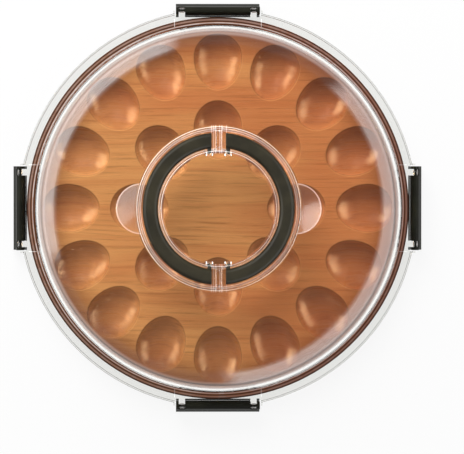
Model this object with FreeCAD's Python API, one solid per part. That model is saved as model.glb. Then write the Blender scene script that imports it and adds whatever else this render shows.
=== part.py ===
"""Deviled egg carrier, in millimetres.

A round hardwood tray holds halved eggs in two rings of carved wells. A clear
moulded lid stands on a ledge round the tray, and four snap latches on its
flange hook under the tray's rim. Two half-ring handles lie in a channel in the
lid's top and swing up on stub pins to meet over the middle. Four soft feet
carry the tray.

Frame: +Z is up, and the origin is the middle of the footprint, on the surface
that the feet stand on. The handles part along the YZ plane.
"""
import FreeCAD, Part
import math
import os

Vector = FreeCAD.Vector
Z_AXIS = Vector(0, 0, 1)
X_AXIS = Vector(1, 0, 0)
ORIGIN = Vector(0, 0, 0)

# Clearances
pin_clearance = 0.08        # radial, round every moulded pin
swing_clearance = 0.3       # round a part that swings past another
seat_clearance = 0.6        # radial, between the lid's wall and the tray's plateau

# Feet
foot_count = 4
foot_radius = 7.0
foot_circle_radius = 121.0
foot_proud = 2.0            # from the table to the tray's underside
foot_sunk = 1.2             # depth of the foot's pocket in the tray
foot_edge = 0.6

# Egg tray
tray_radius = 165.2
tray_thickness = 21.0
ledge_depth = 3.0           # from the plateau down to the ledge that carries the lid
rim_thickness = 11.0        # from the ledge down to the rim's underside
undercut_width = 7.2        # how far the rim overhangs the tray's base
tray_edge = 1.0
tray_bevel = 0.6

# Egg wells: a blunt end outward and a narrower end towards the middle
well_length = 51.0
well_blunt_length = 23.0    # from the widest place to the blunt end
well_width = 42.0
well_depth = 12.0
well_edge = 0.8
well_margin = 2.4           # wood left between a blunt end and the plateau's edge
well_ring_gap = 8.6         # wood left between the two rings of wells
well_side_gap = 8.8         # least wood left between neighbours in a ring, at their widest

# Lid shell
lid_wall = 2.4
lid_rise = 56.0             # from the ledge to the lid's top
lid_inset = 6.9             # from the tray's edge in to the foot of the lid's wall
lid_lean = 1.8              # how far the wall leans in on its way up
shoulder_radius = 19.6
wall_foot_fillet = 2.2      # where the wall meets the flange
flange_overhang = 7.4       # how far the flange stands out past the tray
flange_thickness = 2.4
lip_drop = 2.8              # how far the flange's edge turns down
lip_thickness = 1.8
lip_bevel = 0.4

# Handles
handle_inner_radius = 51.9
handle_width = 13.0
handle_thickness = 8.5
handle_edge = 3.4
handle_end_edge = 0.7
handle_sink = 0.5           # from the lid's top down to the handle's top
handle_end_overhang = 1.9   # from the pin's axis to the handle's cut end
handle_pin_radius = 1.75
handle_pin_length = 4.6

# Handle channel in the lid
channel_outer_gap = 2.4     # at the floor, outside the handle
channel_inner_gap = 0.6     # at the floor, inside the handle
channel_outer_lean = 1.8
channel_inner_lean = 2.0
channel_floor_gap = 1.2     # under the lowest place that a handle's end swings to
channel_fillet = 1.4        # along the channel's floor
channel_corner = 1.8        # upright corners, where the walls meet a web
channel_edge = 0.7          # round the channel's mouth
web_width = 4.4             # the wall that parts the two halves of the channel
web_gap = 1.1
web_slot_width = 1.4        # moulded into the web from below
boss_wall = 1.4             # plastic round a pin's bore

# Latches
latch_count = 4
latch_length = 72.5
latch_plate = 2.6
latch_belly = 0.8           # how far the plate bows out on its way down
latch_reach = 6.7           # from the pivot out to the finger lip
latch_lip_height = 6.4
latch_lip_thickness = 2.0
latch_edge = 0.7
barrel_radius = 3.4
barrel_gap = 1.2            # between the barrel and the flange
latch_pin_radius = 1.2
latch_pin_inset = 5.15      # from the latch's end to the middle of a pin
lug_width = 4.9
lug_slot_gap = 0.3          # each side of a lug in its slot
lug_wall = 1.0              # plastic round a latch pin
lug_edge = 0.9              # rounding of a lug's eye at each side
lug_mouth = 2.0             # the opening that a pin snaps through
lug_arm = 3.0
pivot_rise = 2.5            # from the ledge up to the latch's pivot
notch_gap = 0.9             # from the tray's edge out to the flange's straight edge
notch_end_gap = 0.9         # between a latch's end and the end of its notch
cheek_width = 1.4           # the upright ear at each end of a notch
cheek_reach = 4.6           # how far an ear stands out past the notch's straight edge
pad_rise = 1.6              # thickening of the flange at a latch
hook_grip = 2.6             # how far the snapped hook reaches under the rim
hook_gap = 0.25             # under the rim when snapped
hook_rest_gap = 0.4         # outside the rim when the latch hangs free
hook_thickness = 3.6
hook_nose = 1.4

# Heights
tray_base_z = foot_proud
tray_top_z = tray_base_z + tray_thickness
ledge_z = tray_top_z - ledge_depth
rim_under_z = ledge_z - rim_thickness
lid_top_z = ledge_z + lid_rise
lid_under_z = lid_top_z - lid_wall
flange_top_z = ledge_z + flange_thickness
latch_pivot_z = ledge_z + pivot_rise
handle_pivot_z = lid_top_z - handle_sink - handle_thickness / 2
handle_end_swing = math.hypot(handle_end_overhang, handle_thickness / 2)
channel_floor_z = handle_pivot_z - handle_end_swing - channel_floor_gap
channel_under_z = channel_floor_z - lid_wall

# Radii and half widths
lid_foot_radius = tray_radius - lid_inset
lid_shoulder_radius = lid_foot_radius - lid_lean
plateau_radius = lid_foot_radius - lid_wall - seat_clearance
tray_base_radius = tray_radius - undercut_width
flange_radius = tray_radius + flange_overhang
handle_outer_radius = handle_inner_radius + handle_width
channel_outer_foot = handle_outer_radius + channel_outer_gap
channel_inner_foot = handle_inner_radius - channel_inner_gap
channel_outer_top = channel_outer_foot + channel_outer_lean
channel_inner_top = channel_inner_foot - channel_inner_lean
handle_pivot_x = web_width / 2 + web_gap + handle_end_swing
handle_end_x = handle_pivot_x - handle_end_overhang
notch_x = tray_radius + notch_gap
notch_half_width = latch_length / 2 + notch_end_gap
latch_pivot_x = notch_x + barrel_gap + barrel_radius
lug_bore_radius = latch_pin_radius + pin_clearance
lug_radius = lug_bore_radius + lug_wall
lug_offset = latch_length / 2 - latch_pin_inset
handle_bore_radius = handle_pin_radius + pin_clearance
boss_radius = handle_bore_radius + boss_wall


def rounded_face(corners):
    """Face in the XZ plane through (x, z, radius) corners.

    Each corner is rounded by its radius. A negative radius bevels it instead,
    by that length along each side.
    """
    points = [Vector(x, 0, z) for x, z, _ in corners]
    edges = []
    ends = []
    for index, (_, _, radius) in enumerate(corners):
        corner = points[index]
        to_last = (points[index - 1] - corner).normalize()
        to_next = (points[(index + 1) % len(points)] - corner).normalize()
        half_turn = to_last.getAngle(to_next) / 2
        reach = radius / math.tan(half_turn) if radius > 0 else -radius
        start = corner + to_last * reach
        end = corner + to_next * reach
        if radius > 0:
            inward = (to_last + to_next).normalize() * (radius / math.sin(half_turn) - radius)
            edges.append(Part.Arc(start, corner + inward, end).toShape())
        elif radius < 0:
            edges.append(Part.LineSegment(start, end).toShape())
        ends.append((start, end))
    for index, (start, _) in enumerate(ends):
        edges.append(Part.LineSegment(ends[index - 1][1], start).toShape())
    return Part.Face(Part.Wire(Part.__sortEdges__(edges)))


def turned(corners):
    """Solid of revolution about the Z axis."""
    return rounded_face(corners).revolve(ORIGIN, Z_AXIS, 360)


def bar(corners, width, middle_y=0.0):
    """A section in the XZ plane, stretched along Y about middle_y."""
    solid = rounded_face(corners).extrude(Vector(0, width, 0))
    solid.translate(Vector(0, middle_y - width / 2, 0))
    return solid


def round_bar(radius, x, z, y_from, y_to):
    """A round bar along Y, between two places on the Y axis."""
    return Part.makeCylinder(radius, y_to - y_from, Vector(x, y_from, z), Vector(0, 1, 0))


def tongue(outer_x, width, corner, middle_y):
    """An upright block from the YZ plane out along X, with its two outer corners rounded."""
    half = width / 2
    outline = rounded_face([(0, -half, 0), (outer_x, -half, corner), (outer_x, half, corner), (0, half, 0)])
    outline.rotate(ORIGIN, X_AXIS, 90)
    outline.translate(Vector(0, middle_y, 0))
    return outline.extrude(Vector(0, 0, lid_top_z))


def around(solid, angle):
    """A copy, turned about the Z axis by an angle in degrees."""
    copy = solid.copy()
    copy.rotate(ORIGIN, Z_AXIS, angle)
    return copy


def sloped(foot_x, top_x, z):
    """Place at height z on a channel wall that runs from its floor to the lid's top."""
    share = (z - channel_floor_z) / (lid_top_z - channel_floor_z)
    return foot_x + (top_x - foot_x) * share


def rounded_mouth(hollow, block, radius):
    """What a hollow takes out of a block, with its mouth in the block's top rounded."""
    carved = block.cut(hollow)
    top = max(carved.Faces, key=lambda face: face.CenterOfMass.z)
    mouth_edges = [edge for wire in top.Wires if not wire.isSame(top.OuterWire) for edge in wire.Edges]
    return block.cut(carved.makeFillet(radius, mouth_edges))


def well_cutter():
    """The body that one well takes out of the plateau, rounded edge included.

    It lies along X with its mouth in the XY plane and its widest place at the
    origin. The hollow is an egg of revolution whose axis lies above the mouth,
    so that its outline there is two half ellipses, as long and wide as the well.
    """
    ball_radius = (well_width ** 2 / 4 + well_depth ** 2) / (2 * well_depth)
    spread = ball_radius / (well_width / 2)
    blunt_reach = well_blunt_length * spread
    narrow_reach = (well_blunt_length - well_length) * spread
    quarter_turn = Part.Arc(Vector(1, 0, 0), Vector(math.sqrt(0.5), 0, math.sqrt(0.5)), Vector(0, 0, 1))
    outline = [Part.LineSegment(Vector(narrow_reach, 0, 0), Vector(blunt_reach, 0, 0)).toShape()]
    for reach in (blunt_reach, narrow_reach):
        scale = FreeCAD.Matrix()
        scale.scale(Vector(reach, 1, ball_radius))
        outline.append(quarter_turn.toShape().transformGeometry(scale))
    egg = Part.Face(Part.Wire(Part.__sortEdges__(outline))).revolve(ORIGIN, X_AXIS, 360)
    egg.translate(Vector(0, 0, ball_radius - well_depth))
    margin = well_edge + well_margin
    corner = Vector(well_blunt_length - well_length - margin, -well_width / 2 - margin, -well_depth - margin)
    block = Part.makeBox(well_length + 2 * margin, well_width + 2 * margin, well_depth + margin, corner)
    return rounded_mouth(egg, block, well_edge)


def make_foot():
    """One soft foot, lying in its pocket on the X axis."""
    foot_top_z = tray_base_z + foot_sunk
    foot = turned([
        (0, 0, 0),
        (foot_radius, 0, foot_edge),
        (foot_radius, foot_top_z, 0),
        (0, foot_top_z, 0),
    ])
    foot.translate(Vector(foot_circle_radius, 0, 0))
    return foot


def make_tray():
    """The wooden tray, with its wells, its ledge, its undercut rim and its foot pockets."""
    tray = turned([
        (0, tray_base_z, 0),
        (tray_base_radius, tray_base_z, -tray_bevel),
        (tray_base_radius, rim_under_z, 0),
        (tray_radius, rim_under_z, tray_edge),
        (tray_radius, ledge_z, tray_edge),
        (plateau_radius, ledge_z, 0),
        (plateau_radius, tray_top_z, -tray_bevel),
        (0, tray_top_z, 0),
    ])
    outer_ring_radius = plateau_radius - well_margin - well_blunt_length
    inner_ring_radius = outer_ring_radius - well_length - well_ring_gap
    cutter = well_cutter()
    cutters = []
    for ring_radius in (outer_ring_radius, inner_ring_radius):
        placed = cutter.copy()
        placed.translate(Vector(ring_radius, 0, tray_top_z))
        count = int(2 * math.pi * ring_radius / (well_width + well_side_gap))
        cutters += [around(placed, 360 / count * index) for index in range(count)]
    tray = tray.cut(cutters)
    pocket = Part.makeCylinder(foot_radius, foot_sunk, Vector(foot_circle_radius, 0, tray_base_z))
    pockets = [around(pocket, foot_angle(index)) for index in range(foot_count)]
    return tray.cut(pockets)


def foot_angle(index):
    """Angle of a foot about the Z axis: midway between two latches."""
    return 360 / foot_count * (index + 0.5)


def lid_shell():
    """The lid's revolved wall: top, shoulder, wall, flange and lip, thick where the channel goes."""
    under = channel_under_z
    return turned([
        (0, lid_top_z, 0),
        (lid_shoulder_radius, lid_top_z, shoulder_radius),
        (lid_foot_radius, flange_top_z, wall_foot_fillet),
        (flange_radius, flange_top_z, -lip_bevel),
        (flange_radius, ledge_z - lip_drop, -lip_bevel),
        (flange_radius - lip_thickness, ledge_z - lip_drop, -lip_bevel),
        (flange_radius - lip_thickness, ledge_z, 0),
        (lid_foot_radius - lid_wall, ledge_z, 0),
        (lid_shoulder_radius - lid_wall, lid_under_z, shoulder_radius - lid_wall),
        (sloped(channel_outer_foot, channel_outer_top, lid_under_z) + lid_wall, lid_under_z, 0),
        (sloped(channel_outer_foot, channel_outer_top, under) + lid_wall, under, 0),
        (sloped(channel_inner_foot, channel_inner_top, under) - lid_wall, under, 0),
        (sloped(channel_inner_foot, channel_inner_top, lid_under_z) - lid_wall, lid_under_z, 0),
        (0, lid_under_z, 0),
    ])


def channel_section(inset, low_z, high_z):
    """Corners across the handle channel, a little way in from its walls."""
    return [
        (sloped(channel_inner_foot, channel_inner_top, low_z) + inset, low_z, 0),
        (sloped(channel_outer_foot, channel_outer_top, low_z) - inset, low_z, 0),
        (sloped(channel_outer_foot, channel_outer_top, high_z) - inset, high_z, 0),
        (sloped(channel_inner_foot, channel_inner_top, high_z) + inset, high_z, 0),
    ]


def channel_half():
    """What one half of the handle channel takes out of the lid, on the +X side.

    Its corners, its floor and its mouth in the lid's top are rounded.
    """
    past_top_z = lid_top_z + channel_edge
    ring = turned(channel_section(0, channel_floor_z, past_top_z))
    reach = channel_outer_top + channel_corner
    side = Part.makeBox(reach, 2 * reach, lid_top_z, Vector(web_width / 2, -reach, channel_floor_z))
    half = ring.common(side)
    depth = past_top_z - channel_floor_z
    half = half.makeFillet(channel_corner, [edge for edge in half.Edges if edge.BoundBox.ZLength > depth / 2])
    floor = min(half.Faces, key=lambda face: face.CenterOfMass.z)
    half = half.makeFillet(channel_fillet, floor.Edges)
    block = Part.makeBox(reach, 2 * reach, lid_top_z - channel_under_z, Vector(0, -reach, channel_under_z))
    return rounded_mouth(half, block, channel_edge)


def add_channel(lid):
    """Cuts the channel's two halves, and a slot from below into each web between them."""
    half = channel_half()
    slot_inset = (web_width - web_slot_width) / 2
    slot = bar(channel_section(slot_inset, channel_under_z, lid_under_z), web_slot_width)
    return lid.cut([half, around(half, 180), around(slot, 90), around(slot, 270)])


def add_pin_bosses(lid):
    """A bored boss behind the channel's inner wall for each of the four handle pins."""
    wall_y = math.sqrt(channel_inner_foot ** 2 - handle_pivot_x ** 2)
    tip_y = handle_pin_tip_y()
    boss_end_y = tip_y - swing_clearance - boss_wall
    wall_middle_x = sloped(channel_inner_foot, channel_inner_top, handle_pivot_z) - lid_wall / 2
    wall_middle_y = math.sqrt(wall_middle_x ** 2 - handle_pivot_x ** 2)
    for side_x in (-1, 1):
        corner = Vector(side_x * handle_pivot_x - boss_radius, boss_end_y, handle_pivot_z)
        head_height = lid_under_z + lid_wall / 2 - handle_pivot_z
        head = Part.makeBox(2 * boss_radius, wall_middle_y - boss_end_y, head_height, corner)
        nose = round_bar(boss_radius, side_x * handle_pivot_x, handle_pivot_z, boss_end_y, wall_middle_y)
        bore_end_y = tip_y - swing_clearance
        bore = round_bar(handle_bore_radius, side_x * handle_pivot_x, handle_pivot_z, bore_end_y, wall_y)
        for turn in (0, 180):
            lid = lid.fuse([around(head, turn), around(nose, turn)]).cut(around(bore, turn))
    return lid


def add_latch_seats(lid):
    """At each latch: a straight notch in the flange, a thicker pad and two snap lugs."""
    notch = Part.makeBox(flange_overhang, 2 * notch_half_width, lid_top_z,
                         Vector(notch_x, -notch_half_width, 0))
    wall_middle_x = lid_foot_radius - lid_wall / 2
    pad_inner_x = math.sqrt(wall_middle_x ** 2 - notch_half_width ** 2)
    pad = Part.makeBox(notch_x - pad_inner_x, 2 * notch_half_width, pad_rise + flange_thickness,
                       Vector(pad_inner_x, -notch_half_width, ledge_z))
    pad = pad.cut(Part.makeCylinder(wall_middle_x, lid_rise, Vector(0, 0, ledge_z)))
    lugs = [make_lug(side * lug_offset) for side in (-1, 1)]
    cheeks = [make_cheek(side) for side in (-1, 1)]
    seat = pad.fuse(lugs + cheeks)
    for index in range(latch_count):
        angle = 360 / latch_count * index
        lid = lid.cut(around(notch, angle)).fuse(around(seat, angle))
    return lid


def make_cheek(side):
    """The ear at one end of a notch, which stands beside the latch's end."""
    low_y = notch_half_width if side > 0 else -notch_half_width - cheek_width
    inner_x = notch_x - cheek_reach
    return Part.makeBox(2 * cheek_reach, cheek_width, pad_rise + flange_thickness,
                        Vector(inner_x, low_y, ledge_z))


def make_lug(middle_y):
    """A C-shaped lug on the notch's edge, open upward, which a latch pin snaps into."""
    arm_end_x = latch_pivot_x - lug_bore_radius
    arm_top_z = latch_pivot_z + lug_arm / 2
    arm_under_z = latch_pivot_z - lug_arm / 2
    arm = bar([
        (notch_x - barrel_gap, arm_under_z, 0),
        (arm_end_x, arm_under_z, 0),
        (arm_end_x, arm_top_z, 0),
        (notch_x - barrel_gap, arm_top_z, 0),
    ], lug_width, middle_y)
    y_from = middle_y - lug_width / 2
    y_to = middle_y + lug_width / 2
    eye = round_bar(lug_radius, latch_pivot_x, latch_pivot_z, y_from, y_to)
    eye = eye.makeFillet(lug_edge, [edge for edge in eye.Edges if edge.isClosed()])
    bore = round_bar(lug_bore_radius, latch_pivot_x, latch_pivot_z, y_from, y_to)
    mouth = Part.makeBox(lug_mouth, lug_width, 2 * lug_radius,
                         Vector(latch_pivot_x - lug_mouth / 2, y_from, latch_pivot_z))
    return arm.fuse(eye).cut([bore, mouth])


def make_lid():
    """The clear lid, as one moulding."""
    lid = lid_shell()
    lid = add_channel(lid)
    lid = add_pin_bosses(lid)
    lid = add_latch_seats(lid)
    return lid.removeSplitter()


def handle_pin_tip_y():
    """Where a handle pin ends, measured from the YZ plane's middle."""
    inner_face_y = math.sqrt(handle_inner_radius ** 2 - handle_pivot_x ** 2)
    return inner_face_y - handle_pin_length


def make_handle():
    """The right-hand half ring, with a stub pin at each end pointing to the middle."""
    low_z = handle_pivot_z - handle_thickness / 2
    high_z = handle_pivot_z + handle_thickness / 2
    ring = turned([
        (handle_inner_radius, low_z, handle_edge),
        (handle_outer_radius, low_z, handle_edge),
        (handle_outer_radius, high_z, handle_edge),
        (handle_inner_radius, high_z, handle_edge),
    ])
    reach = handle_outer_radius + handle_width
    keep = Part.makeBox(reach, 2 * reach, handle_thickness, Vector(handle_end_x, -reach, low_z))
    half = ring.common(keep)
    end_limit_x = handle_end_x + handle_end_edge / 10
    end_faces = [face for face in half.Faces if face.CenterOfMass.x < end_limit_x]
    half = half.makeFillet(handle_end_edge, [edge for face in end_faces for edge in face.Edges])
    root_y = handle_pin_tip_y() + handle_pin_length + handle_width / 2
    pin = round_bar(handle_pin_radius, handle_pivot_x, handle_pivot_z, handle_pin_tip_y(), root_y)
    return half.fuse([pin, mirrored(pin)])


def mirrored(solid):
    """A copy on the other side of the XZ plane."""
    return solid.mirror(ORIGIN, Vector(0, 1, 0))


def hook_tip():
    """Hook tip from the pivot, with the latch hanging free, as (x, z).

    The tip is placed where it grips under the rim, and then turned back about
    the pivot until it clears the rim's edge.
    """
    grip_x = tray_radius - hook_grip - latch_pivot_x
    grip_z = rim_under_z - hook_gap - latch_pivot_z
    rest_x = tray_radius + hook_rest_gap - latch_pivot_x
    rest_z = -math.sqrt(grip_x ** 2 + grip_z ** 2 - rest_x ** 2)
    return rest_x, rest_z


def make_latch():
    """One latch on the +X side, hanging free: barrel, plate, finger lip and hook."""
    tip_x, tip_z = hook_tip()
    plate_inner = barrel_radius - latch_plate
    lip_foot_z = tip_z - hook_thickness - latch_edge
    lip_top_z = lip_foot_z + latch_lip_height
    section = [
        (plate_inner, 0, 0),
        (plate_inner, tip_z, latch_edge),
        (tip_x, tip_z, latch_edge / 2),
        (tip_x, tip_z - hook_nose, latch_edge / 2),
        (plate_inner, tip_z - hook_thickness, latch_edge),
        (latch_reach - latch_lip_thickness, lip_foot_z, latch_edge),
        (latch_reach, lip_foot_z + latch_edge, latch_edge / 2),
        (barrel_radius + latch_belly, lip_top_z, latch_plate),
        (barrel_radius, 0, 0),
    ]
    placed = [(latch_pivot_x + x, latch_pivot_z + z, radius) for x, z, radius in section]
    half = latch_length / 2
    latch = bar(placed, latch_length).fuse(round_bar(barrel_radius, latch_pivot_x, latch_pivot_z, -half, half))
    slot_width = lug_width + 2 * lug_slot_gap
    slot_end_x = latch_pivot_x + lug_radius + swing_clearance
    for side in (-1, 1):
        slot_y = side * lug_offset - slot_width / 2
        slot = tongue(slot_end_x, slot_width, lug_edge + lug_slot_gap, side * lug_offset)
        top = Part.makeBox(2 * barrel_radius, slot_width, barrel_radius,
                           Vector(latch_pivot_x - barrel_radius, slot_y, latch_pivot_z))
        pin = round_bar(latch_pin_radius, latch_pivot_x, latch_pivot_z, slot_y, slot_y + slot_width)
        latch = latch.cut([slot, top]).fuse(pin)
    return latch.removeSplitter()


def save(name, solid):
    """Writes one piece as a STEP file under parts."""
    solid.exportStep(os.path.join("parts", name + ".step"))


def main():
    """Builds each piece and writes it."""
    os.makedirs("parts", exist_ok=True)
    save("egg_tray", make_tray())
    save("lid", make_lid())
    foot = make_foot()
    for index, name in enumerate(("foot_back_right", "foot_back_left", "foot_front_left", "foot_front_right")):
        save(name, around(foot, foot_angle(index)))
    latch = make_latch()
    for index, name in enumerate(("latch_right", "latch_back", "latch_left", "latch_front")):
        save(name, around(latch, 360 / latch_count * index))
    handle = make_handle()
    save("handle_right", handle)
    save("handle_left", around(handle, 180))


main()
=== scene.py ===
"""Deviled egg carrier: the finish of every piece, the studio and the camera.

Lengths are metres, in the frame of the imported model: +Z is up, and the origin
is the middle of the footprint on the surface that the feet stand on.
"""
import logging
import math
from dataclasses import dataclass
from enum import Enum
from typing import Union

import bpy
from mathutils import Matrix, Vector

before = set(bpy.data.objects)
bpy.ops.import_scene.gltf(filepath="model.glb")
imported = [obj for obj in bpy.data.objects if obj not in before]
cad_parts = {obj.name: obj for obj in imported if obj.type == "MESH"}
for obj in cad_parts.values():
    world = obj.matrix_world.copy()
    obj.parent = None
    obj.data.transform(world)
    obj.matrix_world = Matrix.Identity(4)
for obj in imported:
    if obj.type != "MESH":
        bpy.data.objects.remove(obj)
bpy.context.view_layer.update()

LOG = logging.getLogger("egg_carrier")

Rgb = tuple[float, float, float]
Rgba = tuple[float, float, float, float]
Socket = bpy.types.NodeSocket
Value = Union[Socket, float, tuple]

WHITE: Rgba = (1.0, 1.0, 1.0, 1.0)

# The screen's colour curve: straight up to the toe, and a power above it.
CHANNEL_TOP = 255
CURVE_TOE = 0.04045
CURVE_TOE_SLOPE = 12.92
CURVE_OFFSET = 0.055
CURVE_POWER = 2.4

# Where a Mix node has its share, its two numbers, its two colours and the mixed colour.
MIX_SHARE = 0
MIX_NUMBERS = (2, 3)
MIX_COLOURS = (6, 7)
MIXED_COLOUR = 2

# A count of bounces above this means that there has been at least one.
NO_BOUNCE = 0.5


class Piece(Enum):
    """The carrier's pieces, by their names in the frame."""

    EGG_TRAY = "egg_tray"
    LID = "lid"
    HANDLE_RIGHT = "handle_right"
    HANDLE_LEFT = "handle_left"
    LATCH_RIGHT = "latch_right"
    LATCH_BACK = "latch_back"
    LATCH_LEFT = "latch_left"
    LATCH_FRONT = "latch_front"
    FOOT_BACK_RIGHT = "foot_back_right"
    FOOT_BACK_LEFT = "foot_back_left"
    FOOT_FRONT_LEFT = "foot_front_left"
    FOOT_FRONT_RIGHT = "foot_front_right"


@dataclass(frozen=True)
class Fade:
    """A smooth passage from one value to another, with plain values before and after it."""

    start: float
    end: float
    before: float = 0.0
    after: float = 1.0


@dataclass(frozen=True)
class Line:
    """A thin soft line: the place of its middle, half its width and its strength there.

    A ring has its radius as its place.
    """

    place: float
    half_width: float
    strength: float


def linear(colour: Rgb) -> Rgba:
    """Turns a screen colour into the linear colour that a shader takes.

    Args:
        colour: red, green and blue, each from 0 to 255.

    Returns:
        Linear red, green and blue from 0 to 1, and an alpha of 1.
    """
    lit = []
    for channel in colour:
        share = channel / CHANNEL_TOP
        if share <= CURVE_TOE:
            lit.append(share / CURVE_TOE_SLOPE)
        else:
            lit.append(((share + CURVE_OFFSET) / (1 + CURVE_OFFSET)) ** CURVE_POWER)
    return (lit[0], lit[1], lit[2], 1.0)


class Graph:
    """Adds nodes to one node tree and joins them as it goes."""

    def __init__(self, tree: bpy.types.NodeTree) -> None:
        """Starts on a tree, keeping whatever it holds."""
        self.tree = tree

    def fill(self, node: bpy.types.Node, inputs: dict[str | int, Value]) -> bpy.types.Node:
        """Links or sets some of a node's inputs.

        Args:
            node: the node.
            inputs: a socket or a plain value for each input's name or number.

        Returns:
            The same node.
        """
        for name, value in inputs.items():
            socket = node.inputs[name]
            if isinstance(value, bpy.types.NodeSocket):
                self.tree.links.new(value, socket)
            else:
                socket.default_value = value
        return node

    def node(self, kind: str, inputs: dict[str | int, Value] | None = None,
             **settings: object) -> bpy.types.Node:
        """Adds one node.

        Args:
            kind: the node's type, without the leading ShaderNode.
            inputs: a socket or a plain value for each input's name or number.
            **settings: the node's own properties.

        Returns:
            The new node.
        """
        made = self.tree.nodes.new("ShaderNode" + kind)
        for name, value in settings.items():
            setattr(made, name, value)
        return self.fill(made, inputs or {})

    def math(self, operation: str, *values: Value) -> Socket:
        """Adds a math node and returns its result."""
        return self.node("Math", dict(enumerate(values)), operation=operation).outputs[0]

    def plus(self, first: Value, second: Value) -> Socket:
        """Adds two numbers."""
        return self.math("ADD", first, second)

    def times(self, first: Value, second: Value) -> Socket:
        """Multiplies two numbers."""
        return self.math("MULTIPLY", first, second)

    def above(self, value: Value, bound: float) -> Socket:
        """Gives 1 above a bound, and 0 up to it."""
        return self.math("GREATER_THAN", value, bound)

    def below(self, value: Value, bound: float) -> Socket:
        """Gives 1 below a bound, and 0 from it on."""
        return self.math("LESS_THAN", value, bound)

    def vector(self, x: Value, y: Value, z: Value) -> Socket:
        """Joins three numbers into a vector."""
        return self.node("CombineXYZ", {0: x, 1: y, 2: z}).outputs[0]

    def split(self, vector: Socket) -> tuple[Socket, ...]:
        """Takes a vector apart into its three numbers."""
        return tuple(self.node("SeparateXYZ", {0: vector}).outputs)

    def place(self) -> Socket:
        """Place on the surface, in the coordinates of the piece itself."""
        return self.node("TexCoord").outputs["Object"]

    def length(self, x: Value, y: Value) -> Socket:
        """Length of a vector of two numbers."""
        return self.math("SQRT", self.plus(self.times(x, x), self.times(y, y)))

    def facing(self, x: Value, y: Value, azimuth: float) -> Socket:
        """How far a level vector reaches towards an azimuth, in degrees from +X."""
        turn = math.radians(azimuth)
        return self.plus(self.times(x, math.cos(turn)), self.times(y, math.sin(turn)))

    def noise(self, place: Socket, scale: float = 1.0, detail: float = 2.0,
              rough: float = 0.5) -> Socket:
        """Adds a smooth noise of a place, from 0 to 1."""
        inputs = {"Vector": place, "Scale": scale, "Detail": detail, "Roughness": rough}
        return self.node("TexNoise", inputs).outputs["Fac"]

    def fade(self, value: Value, fade: Fade) -> Socket:
        """Turns a value into the smooth passage that a fade describes."""
        inputs = {"Value": value, "From Min": fade.start, "From Max": fade.end,
                  "To Min": fade.before, "To Max": fade.after}
        return self.node("MapRange", inputs, interpolation_type="SMOOTHSTEP").outputs[0]

    def spread(self, mask: Value, middle: float, width: float) -> Socket:
        """Spreads a mask from 0 to 1 over a width round a middle."""
        return self.math("MULTIPLY_ADD", mask, width, middle - width / 2)

    def line(self, value: Value, line: Line) -> Socket:
        """Strength of a thin line: full in its middle, and 0 from twice its half width on."""
        away = self.math("ABSOLUTE", self.math("SUBTRACT", value, line.place))
        share = self.fade(away, Fade(0.0, 2 * line.half_width, 1.0, 0.0))
        return self.times(share, line.strength)

    def bump(self, height: Socket, depth: float, strength: float) -> Socket:
        """Turns a height mask into a surface direction."""
        inputs = {"Height": height, "Distance": depth, "Strength": strength}
        return self.node("Bump", inputs).outputs[0]

    def blend(self, share: Value, first: Value, second: Value) -> Socket:
        """Mixes two colours by a share, 0 for the first and 1 for the second."""
        made = self.node("Mix", data_type="RGBA")
        self.fill(made, {MIX_SHARE: share, MIX_COLOURS[0]: first, MIX_COLOURS[1]: second})
        return made.outputs[MIXED_COLOUR]

    def choose(self, share: Value, first: Value, second: Value) -> Socket:
        """Mixes two numbers by a share, 0 for the first and 1 for the second."""
        inputs = {MIX_SHARE: share, MIX_NUMBERS[0]: first, MIX_NUMBERS[1]: second}
        return self.node("Mix", inputs, data_type="FLOAT").outputs[0]


def new_group(name: str, inputs: dict[str, str],
              outputs: dict[str, str]) -> tuple[Graph, dict[str, Socket], bpy.types.Node]:
    """Starts a shader node group.

    Args:
        name: the group's name.
        inputs: each input's name and kind, Color, Float or Vector.
        outputs: each output's name and kind.

    Returns:
        The graph to build in, the group's inputs by name, and its output node.
    """
    tree = bpy.data.node_groups.new(name, "ShaderNodeTree")
    for label, kind in inputs.items():
        tree.interface.new_socket(label, in_out="INPUT", socket_type="NodeSocket" + kind)
    for label, kind in outputs.items():
        tree.interface.new_socket(label, in_out="OUTPUT", socket_type="NodeSocket" + kind)
    entry = tree.nodes.new("NodeGroupInput")
    leave = tree.nodes.new("NodeGroupOutput")
    return Graph(tree), {label: entry.outputs[label] for label in inputs}, leave


def use_group(graph: Graph, group: bpy.types.NodeTree) -> bpy.types.Node:
    """Places a node group, fed with the piece's own coordinates."""
    made = graph.node("Group", node_tree=group)
    return graph.fill(made, {"Place": graph.place()})


def new_material(name: str) -> tuple[bpy.types.Material, Graph, bpy.types.Node, bpy.types.Node]:
    """Starts a material.

    Args:
        name: the material's name.

    Returns:
        The material, its graph, its Principled shader and its output node.
    """
    material = bpy.data.materials.new(name)
    material.use_nodes = True
    nodes = material.node_tree.nodes
    return material, Graph(material.node_tree), nodes["Principled BSDF"], nodes["Material Output"]


@dataclass(frozen=True)
class Streak:
    """One kind of mark in the wood: its length along the board, its width and its detail."""

    length: float
    width: float
    detail: float


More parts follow.
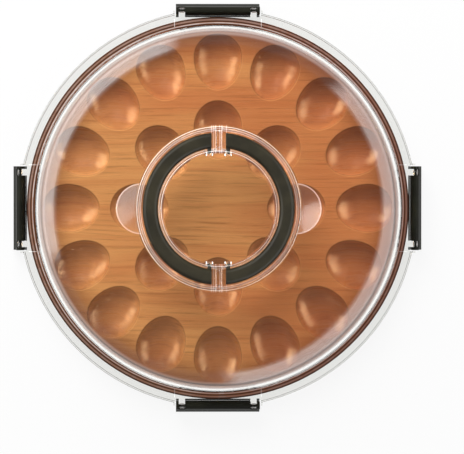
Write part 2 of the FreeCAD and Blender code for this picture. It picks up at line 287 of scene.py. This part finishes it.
@dataclass(frozen=True)
class GrainPattern:
    """Node group for the growth rings and fibres of a sawn board.

    The board's length runs along X. Rings are shells round a line along X that
    lies under the board, so a hollow carved into it cuts across them.
    """

    pith_y: float = -0.42
    pith_z: float = -0.20
    wander: float = 0.007
    drift: Streak = Streak(0.21, 0.05, 3.0)
    ring_spacing: float = 0.0042
    ring_length: float = 0.3
    ring_detail: float = 3.0
    ring_roughness: float = 0.6
    fibre: Streak = Streak(0.05, 0.0016, 3.0)
    pore: Streak = Streak(0.009, 0.0006, 1.0)
    patch: Streak = Streak(0.15, 0.03, 2.0)
    patch_start: float = 0.9

    def build(self) -> bpy.types.NodeTree:
        """Makes the group, with masks for rings, fibres, pores and broad patches."""
        graph, inputs, leave = new_group(
            "board_grain", {"Place": "Vector"},
            {"Rings": "Float", "Fibres": "Float", "Pores": "Float", "Patches": "Float"})
        x, y, z = graph.split(inputs["Place"])
        across = graph.math("SUBTRACT", y, self.pith_y)
        up = graph.math("SUBTRACT", z, self.pith_z)
        shift = graph.spread(self.streaks(graph, x, y, z, self.drift), 0.0, 2 * self.wander)
        radius = graph.plus(graph.length(across, up), shift)
        ring_place = graph.vector(graph.math("DIVIDE", radius, self.ring_spacing),
                                  graph.math("DIVIDE", x, self.ring_length), 0.0)
        rings = graph.noise(ring_place, detail=self.ring_detail, rough=self.ring_roughness)
        shifted = graph.plus(x, self.patch_start)
        graph.fill(leave, {"Rings": rings,
                           "Fibres": self.streaks(graph, x, radius, z, self.fibre),
                           "Pores": self.streaks(graph, x, radius, z, self.pore),
                           "Patches": self.streaks(graph, shifted, radius, z, self.patch)})
        return graph.tree

    @staticmethod
    def streaks(graph: Graph, x: Socket, y: Socket, z: Socket, kind: Streak) -> Socket:
        """Makes one kind of mark, long along X and thin across.

        Args:
            graph: the group's graph.
            x: place along the board.
            y: place across the board, or across its rings.
            z: height.
            kind: the size of the marks.

        Returns:
            Their mask, from 0 to 1.
        """
        place = graph.vector(graph.math("DIVIDE", x, kind.length),
                             graph.math("DIVIDE", y, kind.width),
                             graph.math("DIVIDE", z, 2 * kind.width))
        return graph.noise(place, detail=kind.detail)


@dataclass(frozen=True)
class MouldedSkin:
    """Node group for the faint unevenness of a moulded surface."""

    flow_size: float = 0.02
    flow_detail: float = 3.0
    spark_size: float = 0.0004
    spark_detail: float = 2.0

    def build(self) -> bpy.types.NodeTree:
        """Makes the group, with a slow flow mask and the fine grain of a spark-eroded mould."""
        graph, inputs, leave = new_group("moulded_skin", {"Place": "Vector"},
                                         {"Flow": "Float", "Spark": "Float"})
        flow = graph.noise(inputs["Place"], scale=1 / self.flow_size, detail=self.flow_detail)
        spark = graph.noise(inputs["Place"], scale=1 / self.spark_size, detail=self.spark_detail)
        graph.fill(leave, {"Flow": flow, "Spark": spark})
        return graph.tree


@dataclass(frozen=True)
class OiledHardwood:
    """Oiled, straight-grained hardwood, sanded smooth and glossier in the wells, with painted
    shade in the wells, along their creases, towards the rim and in thin rings at the edge, and a
    painted highlight along the wells' lips.
    """

    name: str = "oiled_hardwood"
    golden: Rgb = (240, 167, 101)
    middle: Rgb = (224, 138, 82)
    red: Rgb = (196, 102, 58)
    fibre: Rgb = (138, 68, 38)
    # Painted shade: darker, redder wood deeper in the wells.
    painted_well_shade: Rgb = (146, 72, 42)
    # Painted shade: darker wood along the wells' creases and towards the rim.
    rim: Rgb = (102, 47, 29)
    # Painted highlight: a pale line along the wells' lips.
    painted_lip_highlight: Rgb = (246, 190, 128)
    # Painted shade: thin dark rings at the tray's edge and under the lid's foot.
    edge: Rgb = (42, 23, 17)
    # How fast the board turns from golden to middle along X and Y, and how pale its centre is:
    # painted light, paler towards -X for the lamp's falloff and in the middle against the handles'
    # shadow.
    painted_light_slope: tuple[float, float] = (-2.2, -0.5)
    painted_light_centre: Fade = Fade(0.03, 0.08, 0.12, 0.0)
    # The share of each colour, by its mask, by the height or by the radius.
    patches: Fade = Fade(0.32, 0.72)
    rings: Fade = Fade(0.42, 0.72, 0.0, 0.34)
    fibres: Fade = Fade(0.5, 0.78, 0.0, 0.42)
    pores: Fade = Fade(0.6, 0.8, 0.0, 0.25)
    well_shade_depth: Fade = Fade(0.016, 0.0225, 0.42, 0.0)
    # Painted shade towards the rim and along the wells' creases.
    rim_shade: Fade = Fade(0.122, 0.156, 0.0, 0.75)
    crease_shade_line: Line = Line(0.0221, 0.00025, 0.45)
    # Painted highlight along the wells' lips.
    lip_highlight_line: Line = Line(0.0228, 0.00009, 0.6)
    # Painted shade rings at the tray's edge and under the lid's foot.
    edge_shade_rings: tuple[Line, ...] = (
        Line(0.1592, 0.0005, 0.88), Line(0.1618, 0.0005, 0.88), Line(0.1643, 0.0005, 0.88))
    roughness: float = 0.29
    rough_spread: float = 0.16
    fibre_depth: float = 0.00004
    fibre_strength: float = 0.6
    pore_share: float = 0.5
    well_gloss: Fade = Fade(0.0215, 0.0226, 0.5, 0.0)
    wells_end: float = 0.1548

    def build(self, grain: bpy.types.NodeTree) -> bpy.types.Material:
        """Makes the material from the grain group."""
        material, graph, shader, _ = new_material(self.name)
        masks = use_group(graph, grain).outputs
        x, y, z = graph.split(graph.place())
        radius = graph.length(x, y)
        colour = self.board_colour(graph, masks, x, y, radius)
        # Painted shade and a painted highlight laid over the wood's colour, by height and by
        # radius.
        for share, over in (
                (graph.fade(z, self.well_shade_depth), self.painted_well_shade),
                (graph.line(z, self.crease_shade_line), self.rim),
                (graph.line(z, self.lip_highlight_line), self.painted_lip_highlight),
                (graph.fade(radius, self.rim_shade), self.rim),
                *((graph.line(radius, ring), self.edge) for ring in self.edge_shade_rings)):
            colour = graph.blend(share, colour, linear(over))
        height = graph.plus(masks["Fibres"], graph.times(masks["Pores"], self.pore_share))
        gloss = graph.times(graph.fade(z, self.well_gloss), graph.below(radius, self.wells_end))
        graph.fill(shader, {
            "Base Color": colour,
            "Roughness": graph.spread(masks["Fibres"], self.roughness, self.rough_spread),
            "Normal": graph.bump(height, self.fibre_depth, self.fibre_strength),
            "Specular IOR Level": gloss})
        return material

    def board_colour(self, graph: Graph, masks: bpy.types.NodeOutputs, x: Socket, y: Socket,
                     radius: Socket) -> Socket:
        """Colour of the sawn wood before it is carved and oiled, with painted light that makes it
        paler towards -X and in the middle.

        Args:
            graph: the material's graph.
            masks: the outputs of the grain group.
            x: place along the board.
            y: place across the board.
            radius: distance from the board's middle.

        Returns:
            The colour.
        """
        # Painted light: paler towards -X, for the lamp's falloff, and in the middle, lifting the
        # handles' shadow.
        painted_light = graph.plus(graph.times(x, self.painted_light_slope[0]), graph.times(y, self.painted_light_slope[1]))
        painted_light = graph.plus(painted_light, graph.fade(radius, self.painted_light_centre))
        broad = graph.fade(graph.math("SUBTRACT", masks["Patches"], painted_light), self.patches)
        colour = graph.blend(broad, linear(self.golden), linear(self.middle))
        for mask, fade, over in (("Rings", self.rings, self.red),
                                 ("Fibres", self.fibres, self.fibre),
                                 ("Pores", self.pores, self.fibre)):
            colour = graph.blend(graph.fade(masks[mask], fade), colour, linear(over))
        return colour


@dataclass(frozen=True)
class BlackPlastic:
    """Satin black moulded plastic, a little warm."""

    name: str
    colour: Rgb = (32, 29, 19)
    worn: Rgb = (46, 42, 29)
    wear: Fade = Fade(0.35, 0.7)
    roughness: float = 0.42
    rough_spread: float = 0.12
    gloss: float = 0.27
    spark_depth: float = 0.00002
    spark_strength: float = 0.5

    def build(self, skin: bpy.types.NodeTree) -> bpy.types.Material:
        """Makes the material from the moulded skin group."""
        material, graph, shader, _ = new_material(self.name)
        masks = use_group(graph, skin).outputs
        worn = graph.fade(masks["Flow"], self.wear)
        graph.fill(shader, {
            "Base Color": graph.blend(worn, linear(self.colour), linear(self.worn)),
            "Roughness": graph.spread(masks["Flow"], self.roughness, self.rough_spread),
            "Normal": graph.bump(masks["Spark"], self.spark_depth, self.spark_strength),
            "Specular IOR Level": self.gloss})
        return material


@dataclass(frozen=True)
class SoftRubber:
    """Matte grey silicone rubber."""

    name: str = "soft_rubber"
    colour: Rgb = (92, 89, 84)
    dusty: Rgb = (122, 118, 111)
    dust: Fade = Fade(0.4, 0.7)
    roughness: float = 0.78
    spark_depth: float = 0.00004
    spark_strength: float = 0.7

    def build(self, skin: bpy.types.NodeTree) -> bpy.types.Material:
        """Makes the material from the moulded skin group."""
        material, graph, shader, _ = new_material(self.name)
        masks = use_group(graph, skin).outputs
        dusty = graph.fade(masks["Flow"], self.dust)
        graph.fill(shader, {
            "Base Color": graph.blend(dusty, linear(self.colour), linear(self.dusty)),
            "Roughness": self.roughness,
            "Normal": graph.bump(masks["Spark"], self.spark_depth, self.spark_strength)})
        return material


@dataclass(frozen=True)
class FingerScoop:
    """A shallow round dish in the lid's top beside the handle channel.

    Its rim is a line at the dish's radius, with a painted highlight glowing along it, and its
    steepness is how fast the surface leans in, for each metre from its centre.
    """

    centre_x: float
    rim: Line = Line(0.0213, 0.0002, 0.35)
    steepness: float = 33.0


@dataclass(frozen=True)
class ClearPlastic:
    """Water-clear moulded plastic, with painted highlights glowing along its edges and painted
    shade in rings on its top. Shadow rays go straight through.
    """

    name: str = "clear_plastic"
    tint: Rgb = (246, 246, 243)
    # Painted shade: the colour of dark rings round the handle channel.
    painted_shade_tint: Rgb = (96, 60, 44)
    index: float = 1.57
    roughness: float = 0.03
    flow_depth: float = 0.00006
    flow_strength: float = 0.4
    straight_share: float = 0.93
    # The flange and the lid's top, by height.
    low_part: Fade = Fade(0.03, 0.032, 1.0, 0.0)
    high_part: Fade = Fade(0.055, 0.057)
    # Painted highlights: glowing rings on the flange and on the lid's top.
    low_highlight_rings: tuple[Line, ...] = (Line(0.1602, 0.0004, 0.3), Line(0.1630, 0.0007, 0.09))
    high_highlight_rings: tuple[Line, ...] = (
        Line(0.0698, 0.00018, 0.6), Line(0.0683, 0.00014, 0.4), Line(0.0666, 0.00018, 0.4),
        Line(0.0507, 0.00014, 0.25), Line(0.0492, 0.00024, 0.7),
        Line(0.1520, 0.0009, 0.2), Line(0.1492, 0.0012, 0.12))
    # Painted shade: dark rings round the handle channel.
    painted_shade_rings: tuple[Line, ...] = (
        Line(0.0704, 0.0002, 0.35), Line(0.0690, 0.00022, 0.5), Line(0.0675, 0.00022, 0.5),
        Line(0.0499, 0.0002, 0.5), Line(0.0485, 0.0002, 0.35))
    # Painted highlights along the edges of the webs, by X, and how far they reach along Y.
    web_highlight_lines: tuple[Line, ...] = (
        Line(-0.0062, 0.0002, 0.25), Line(-0.0045, 0.0002, 0.22), Line(-0.0026, 0.0002, 0.3),
        Line(0.0007, 0.0002, 0.25), Line(0.0026, 0.0002, 0.3), Line(0.0066, 0.0002, 0.25))
    web_start: Fade = Fade(0.0465, 0.0475)
    web_end: Fade = Fade(0.0708, 0.0718, 1.0, 0.0)
    # Painted highlights at the ends of the latch seats: how far they lie from the seat's middle,
    # and their reach.
    seat_highlight_line: Line = Line(0.0375, 0.0002, 0.4)
    seat_from: float = 0.1565
    seat_to: float = 0.1635
    # The painted highlights are brighter on the side towards this azimuth.
    bright_side: float = 135.0
    side_light: Fade = Fade(-1.0, 1.0, 0.45, 1.0)
    top_plate: float = 0.0732
    channel_mouth: float = 0.0699
    scoop_roughness: float = 0.24
    scoops: tuple[FingerScoop, ...] = (FingerScoop(-0.0659), FingerScoop(0.0659))

    def build(self, skin: bpy.types.NodeTree) -> bpy.types.Material:
        """Makes the material from the moulded skin group."""
        material, graph, shader, leave = new_material(self.name)
        masks = use_group(graph, skin).outputs
        x, y, z = graph.split(graph.place())
        radius = graph.length(x, y)
        high = graph.fade(z, self.high_part)
        # Painted shade: dark rings on the lid's top.
        shade: Value = 0.0
        for ring in self.painted_shade_rings:
            shade = graph.math("MAXIMUM", shade, graph.line(radius, ring))
        slope, rim_highlights, scooped = self.dishes(graph, x, y, radius, z)
        bump = graph.bump(masks["Flow"], self.flow_depth, self.flow_strength)
        tilted = graph.node("VectorMath", {0: bump, 1: slope}, operation="ADD").outputs[0]
        graph.fill(shader, {
            "Base Color": graph.blend(graph.times(shade, high), linear(self.tint),
                                      linear(self.painted_shade_tint)),
            "Roughness": graph.math("MAXIMUM", graph.times(masks["Flow"], 2 * self.roughness),
                                    graph.times(scooped, self.scoop_roughness)),
            "IOR": self.index,
            "Transmission Weight": 1.0,
            "Normal": graph.node("VectorMath", {0: tilted}, operation="NORMALIZE").outputs[0],
            # Painted highlights glow along the edges and the scoops' rims.
            "Emission Strength": graph.plus(self.painted_edge_glow(graph, x, y, radius, z, high), rim_highlights)})
        path = graph.node("LightPath").outputs
        passing = graph.math("MAXIMUM", path["Is Shadow Ray"], path["Is Diffuse Ray"])
        clear = (self.straight_share, self.straight_share, self.straight_share, 1.0)
        straight = graph.node("BsdfTransparent", {"Color": clear})
        mixed = graph.node("MixShader", {0: passing, 1: shader.outputs[0], 2: straight.outputs[0]})
        graph.fill(leave, {"Surface": mixed.outputs[0]})
        return material

    def painted_edge_glow(self, graph: Graph, x: Socket, y: Socket, radius: Socket, z: Socket,
                  high: Socket) -> Socket:
        """Painted highlights: a glow along the moulding's edges, brighter on one side.

        Args:
            graph: the material's graph.
            x: place across the lid.
            y: place along the lid.
            radius: distance from the lid's axis.
            z: height above the table.
            high: mask of the lid's top.

        Returns:
            The strength of the painted glow, 0 away from the edges.
        """
        low = graph.fade(z, self.low_part)
        side_x, side_y = graph.math("ABSOLUTE", x), graph.math("ABSOLUTE", y)
        web = graph.times(graph.fade(side_y, self.web_start), graph.fade(side_y, self.web_end))
        total: Value = 0.0
        for lines, value, where in ((self.low_highlight_rings, radius, low),
                                    (self.high_highlight_rings, radius, high),
                                    (self.web_highlight_lines, x, graph.times(high, web))):
            for line in lines:
                total = graph.plus(total, graph.times(graph.line(value, line), where))
        for across, along in ((side_x, side_y), (side_y, side_x)):
            reach = graph.times(graph.above(along, self.seat_from),
                                graph.below(along, self.seat_to))
            lit = graph.times(graph.line(across, self.seat_highlight_line), reach)
            total = graph.math("MULTIPLY_ADD", lit, low, total)
        turned = graph.math("DIVIDE", graph.facing(x, y, self.bright_side), radius)
        return graph.times(total, graph.fade(turned, self.side_light))

    def dishes(self, graph: Graph, x: Socket, y: Socket, radius: Socket,
               z: Socket) -> tuple[Socket, Socket, Socket]:
        """Slope, painted rim highlights and mask of the finger scoops in the lid's top.

        Args:
            graph: the material's graph.
            x: place across the lid.
            y: place along the lid.
            radius: distance from the lid's axis.
            z: height above the table.

        Returns:
            What the scoops add to the surface's direction, the painted highlight along their rims,
            and a mask that is 1 inside them.
        """
        facing_up = graph.split(graph.node("NewGeometry").outputs["Normal"])[2]
        plate = graph.times(graph.above(z, self.top_plate),
                            graph.above(radius, self.channel_mouth))
        slope_x: Value = 0.0
        slope_y: Value = 0.0
        rim_highlights: Value = 0.0
        scooped: Value = 0.0
        for scoop in self.scoops:
            aside = graph.math("SUBTRACT", x, scoop.centre_x)
            away = graph.length(aside, y)
            inside = graph.times(graph.below(away, scoop.rim.place), plate)
            scooped = graph.plus(scooped, inside)
            steep = graph.times(graph.times(inside, -scoop.steepness), facing_up)
            slope_x = graph.math("MULTIPLY_ADD", aside, steep, slope_x)
            slope_y = graph.math("MULTIPLY_ADD", y, steep, slope_y)
            rim_highlights = graph.math("MULTIPLY_ADD", graph.line(away, scoop.rim), plate, rim_highlights)
        return graph.vector(slope_x, slope_y, 0.0), rim_highlights, scooped


@dataclass(frozen=True)
class SoftBox:
    """A curved light that stands round one side of the carrier.

    Its azimuth, half width and soft edge are in degrees.
    """

    azimuth: float
    half_width: float
    strength: float
    soft_edge: float = 4.0

    def mask(self, graph: Graph, x: Socket, y: Socket) -> Socket:
        """Share of this soft box in a level direction.

        Args:
            graph: the world's graph.
            x: the direction's share along X, of a level direction one long.
            y: its share along Y.

        Returns:
            1 on the soft box, 0 off it, with a soft edge.
        """
        inner = math.cos(math.radians(self.half_width - self.soft_edge))
        outer = math.cos(math.radians(self.half_width + self.soft_edge))
        return graph.fade(graph.facing(x, y, self.azimuth), Fade(outer, inner))


@dataclass
class Studio:
    """A plain white room: even light, one large lamp, soft boxes and a pale floor.

    The boxes are what surfaces above the wood reflect, and the strips are the
    warm sheen that the wood under the lid reflects.
    """

    ambient: float = 0.32
    least_level: float = 0.0001
    room_gloss: float = 0.3
    boxes: tuple[SoftBox, ...] = (SoftBox(151.0, 46.0, 3.9), SoftBox(339.5, 64.5, 2.9))
    box_foot: Fade = Fade(0.0, 0.32, 0.35, 1.0)
    overhead_gloss: float = 0.08
    overhead_start: float = 28.0
    overhead_end: float = 2.0
    room_sheen: float = 0.1
    strips: tuple[SoftBox, ...] = (SoftBox(155.0, 24.0, 54.0), SoftBox(8.0, 28.0, 18.0))
    strip_foot: Fade = Fade(0.0, 0.08)
    strip_top: Fade = Fade(0.4, 0.65, 1.0, 0.0)
    strip_colour: Rgb = (255, 226, 178)
    # A path to the wood and back crosses the lid's two surfaces twice, four times in all.
    under_lid_crossings: float = 3.5
    # What shows through the clear plastic is dark towards the horizon.
    edge_shade: Fade = Fade(0.05, 0.5, 0.12, 1.0)
    lamp_azimuth: float = 110.0
    lamp_elevation: float = 43.0
    lamp_distance: float = 1.8
    lamp_size: float = 1.35
    lamp_power: float = 37.5
    floor_size: float = 30.0
    floor_drop: float = 0.0002
    floor_white: float = 0.9
    floor_roughness: float = 0.9
    floor_colour: Rgb = (244, 244, 244)
    floor_through: Fade = Fade(0.25, 0.9, 1.0, 0.15)
    floor_gloss: Fade = Fade(0.25, 0.9, 1.1, 0.5)

    def build(self) -> None:
        """Makes the world, the lamp and the floor."""
        self.make_world()
        self.make_lamp()
        self.make_floor()

    def make_world(self) -> None:
        """The room: white to look at, even as light, with soft boxes in its reflections."""
        world = bpy.data.worlds.new("room")
        world.use_nodes = True
        bpy.context.scene.world = world
        graph = Graph(world.node_tree)
        gloss, sheen, through = self.reflections(graph)
        path = graph.node("LightPath").outputs
        under_lid = graph.above(path["Transmission Depth"], self.under_lid_crossings)
        reflected = graph.above(path["Glossy Depth"], NO_BOUNCE)
        scattered = graph.above(path["Diffuse Depth"], NO_BOUNCE)
        strength = graph.choose(path["Is Transmission Ray"], self.ambient, through)
        strength = graph.choose(path["Is Camera Ray"], strength, 1.0)
        strength = graph.choose(reflected, strength, graph.choose(under_lid, gloss, sheen))
        strength = graph.choose(scattered, strength, self.ambient)
        warm = graph.times(under_lid, reflected)
        colour = graph.blend(warm, WHITE, linear(self.strip_colour))
        graph.fill(world.node_tree.nodes["Background"], {"Strength": strength, "Color": colour})

    def reflections(self, graph: Graph) -> tuple[Socket, Socket, Socket]:
        """How bright the room is in each direction, for the rays that see it by way of a piece.

        Args:
            graph: the world's graph.

        Returns:
            The strength that surfaces above the wood reflect, the one that the wood under
            the lid reflects, and the one that shows through clear plastic.
        """
        x, y, z = graph.split(graph.node("TexCoord").outputs["Generated"])
        level = graph.math("MAXIMUM", graph.length(x, y), self.least_level)
        level_x = graph.math("DIVIDE", x, level)
        level_y = graph.math("DIVIDE", y, level)
        gloss: Value = self.room_gloss
        for box in self.boxes:
            gloss = graph.choose(box.mask(graph, level_x, level_y), gloss, box.strength)
        gloss = graph.times(gloss, graph.fade(z, self.box_foot))
        overhead = Fade(math.cos(math.radians(self.overhead_start)),
                        math.cos(math.radians(self.overhead_end)))
        gloss = graph.choose(graph.fade(z, overhead), gloss, self.overhead_gloss)
        tall = graph.times(graph.fade(z, self.strip_foot), graph.fade(z, self.strip_top))
        sheen: Value = self.room_sheen
        for strip in self.strips:
            lit = graph.times(strip.mask(graph, level_x, level_y), tall)
            sheen = graph.choose(lit, sheen, strip.strength)
        return gloss, sheen, graph.fade(graph.math("ABSOLUTE", z), self.edge_shade)

    def make_lamp(self) -> None:
        """The large lamp, which shades the wells and shows in no reflection."""
        data = bpy.data.lights.new("key_lamp", "AREA")
        data.energy = self.lamp_power
        data.shape = "DISK"
        data.size = self.lamp_size
        lamp = bpy.data.objects.new("key_lamp", data)
        bpy.context.scene.collection.objects.link(lamp)
        turn, lift = math.radians(self.lamp_azimuth), math.radians(self.lamp_elevation)
        level = math.cos(lift)
        away = Vector((math.cos(turn) * level, math.sin(turn) * level, math.sin(lift)))
        lamp.location = away * self.lamp_distance
        lamp.rotation_euler = away.to_track_quat("Z", "Y").to_euler()
        lamp.visible_glossy = False
        lamp.visible_transmission = False
        lamp.visible_camera = False

    def make_floor(self) -> None:
        """The floor, white to look at, which keeps a faint shadow."""
        half = self.floor_size / 2
        mesh = bpy.data.meshes.new("floor")
        ends = [(-half, -half), (half, -half), (half, half), (-half, half)]
        mesh.from_pydata([(x, y, -self.floor_drop) for x, y in ends], [], [(0, 1, 2, 3)])
        floor = bpy.data.objects.new("floor", mesh)
        bpy.context.scene.collection.objects.link(floor)
        material, graph, shader, leave = new_material("pale_floor")
        graph.fill(shader, {"Base Color": linear(self.floor_colour),
                            "Roughness": self.floor_roughness, "Specular IOR Level": 0.0})
        away = graph.node("VectorMath", {0: graph.place()}, operation="LENGTH").outputs["Value"]
        path = graph.node("LightPath").outputs
        white = graph.choose(graph.above(path["Glossy Depth"], NO_BOUNCE),
                             graph.fade(away, self.floor_through),
                             graph.fade(away, self.floor_gloss))
        white = graph.choose(path["Is Camera Ray"], white, 1.0)
        glow = graph.node("Emission", {"Color": WHITE, "Strength": white})
        seen = graph.math("MAXIMUM", path["Is Camera Ray"], path["Is Glossy Ray"])
        seen = graph.math("MAXIMUM", seen, path["Is Transmission Ray"])
        share = graph.times(seen, self.floor_white)
        mixed = graph.node("MixShader", {0: share, 1: shader.outputs[0], 2: glow.outputs[0]})
        graph.fill(leave, {"Surface": mixed.outputs[0]})
        mesh.materials.append(material)


@dataclass
class PhotoCamera:
    """Camera above the carrier, about one degree off straight down, with +Y up in the picture."""

    centre_x: float = 0.0122
    centre_y: float = -0.0163
    aside_x: float = -0.059
    aside_y: float = 0.0485
    height: float = 3.3
    rim_height: float = 0.02
    frame_width: float = 0.4014
    sensor: float = 36.0
    clip_end: float = 100.0

    def build(self) -> None:
        """Makes the camera and puts the scene on it."""
        data = bpy.data.cameras.new("camera")
        data.sensor_width = self.sensor
        data.lens = self.sensor * self.height / self.frame_width
        data.clip_end = self.clip_end
        camera = bpy.data.objects.new("camera", data)
        aim = Vector((self.centre_x, self.centre_y, self.rim_height))
        away = Vector((self.aside_x, self.aside_y, self.height))
        back = away.normalized()
        right = Vector((0.0, 1.0, 0.0)).cross(back).normalized()
        camera.location = aim + away
        camera.rotation_euler = Matrix((right, back.cross(right), back)).transposed().to_euler()
        bpy.context.scene.collection.objects.link(camera)
        bpy.context.scene.camera = camera


def dress(pieces: tuple[Piece, ...], material: bpy.types.Material) -> None:
    """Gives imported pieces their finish.

    Args:
        pieces: the pieces.
        material: the finish.
    """
    for piece in pieces:
        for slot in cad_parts[piece.value].material_slots:
            slot.material = material
        LOG.info("%s: %s", piece.value, material.name)


@dataclass
class EggTray:
    """The wooden tray and its four feet."""

    wood: OiledHardwood = OiledHardwood()
    rubber: SoftRubber = SoftRubber()
    feet: tuple[Piece, ...] = (Piece.FOOT_BACK_RIGHT, Piece.FOOT_BACK_LEFT,
                               Piece.FOOT_FRONT_LEFT, Piece.FOOT_FRONT_RIGHT)

    def build(self, grain: bpy.types.NodeTree, skin: bpy.types.NodeTree) -> None:
        """Dresses the tray and its feet."""
        dress((Piece.EGG_TRAY,), self.wood.build(grain))
        dress(self.feet, self.rubber.build(skin))


@dataclass
class ClearLid:
    """The clear lid."""

    plastic: ClearPlastic = ClearPlastic()

    def build(self, skin: bpy.types.NodeTree) -> None:
        """Dresses the lid."""
        dress((Piece.LID,), self.plastic.build(skin))


@dataclass
class Hardware:
    """The handles and latches."""

    handle_plastic: BlackPlastic = BlackPlastic("handle_plastic")
    latch_plastic: BlackPlastic = BlackPlastic("latch_plastic", colour=(23, 23, 18),
                                               worn=(31, 31, 24), gloss=0.08)
    handles: tuple[Piece, ...] = (Piece.HANDLE_RIGHT, Piece.HANDLE_LEFT)
    latches: tuple[Piece, ...] = (Piece.LATCH_RIGHT, Piece.LATCH_BACK,
                                  Piece.LATCH_LEFT, Piece.LATCH_FRONT)

    def build(self, skin: bpy.types.NodeTree) -> None:
        """Dresses each handle and latch."""
        dress(self.handles, self.handle_plastic.build(skin))
        dress(self.latches, self.latch_plastic.build(skin))


def main() -> None:
    """Builds the carrier's looks, then the studio and the camera round it."""
    logging.basicConfig(level=logging.INFO, format="%(name)s: %(message)s")
    bpy.context.scene.view_settings.view_transform = "Standard"
    grain = GrainPattern().build()
    skin = MouldedSkin().build()
    EggTray().build(grain, skin)
    ClearLid().build(skin)
    Hardware().build(skin)
    Studio().build()
    PhotoCamera().build()


if __name__ == "__main__":
    main()
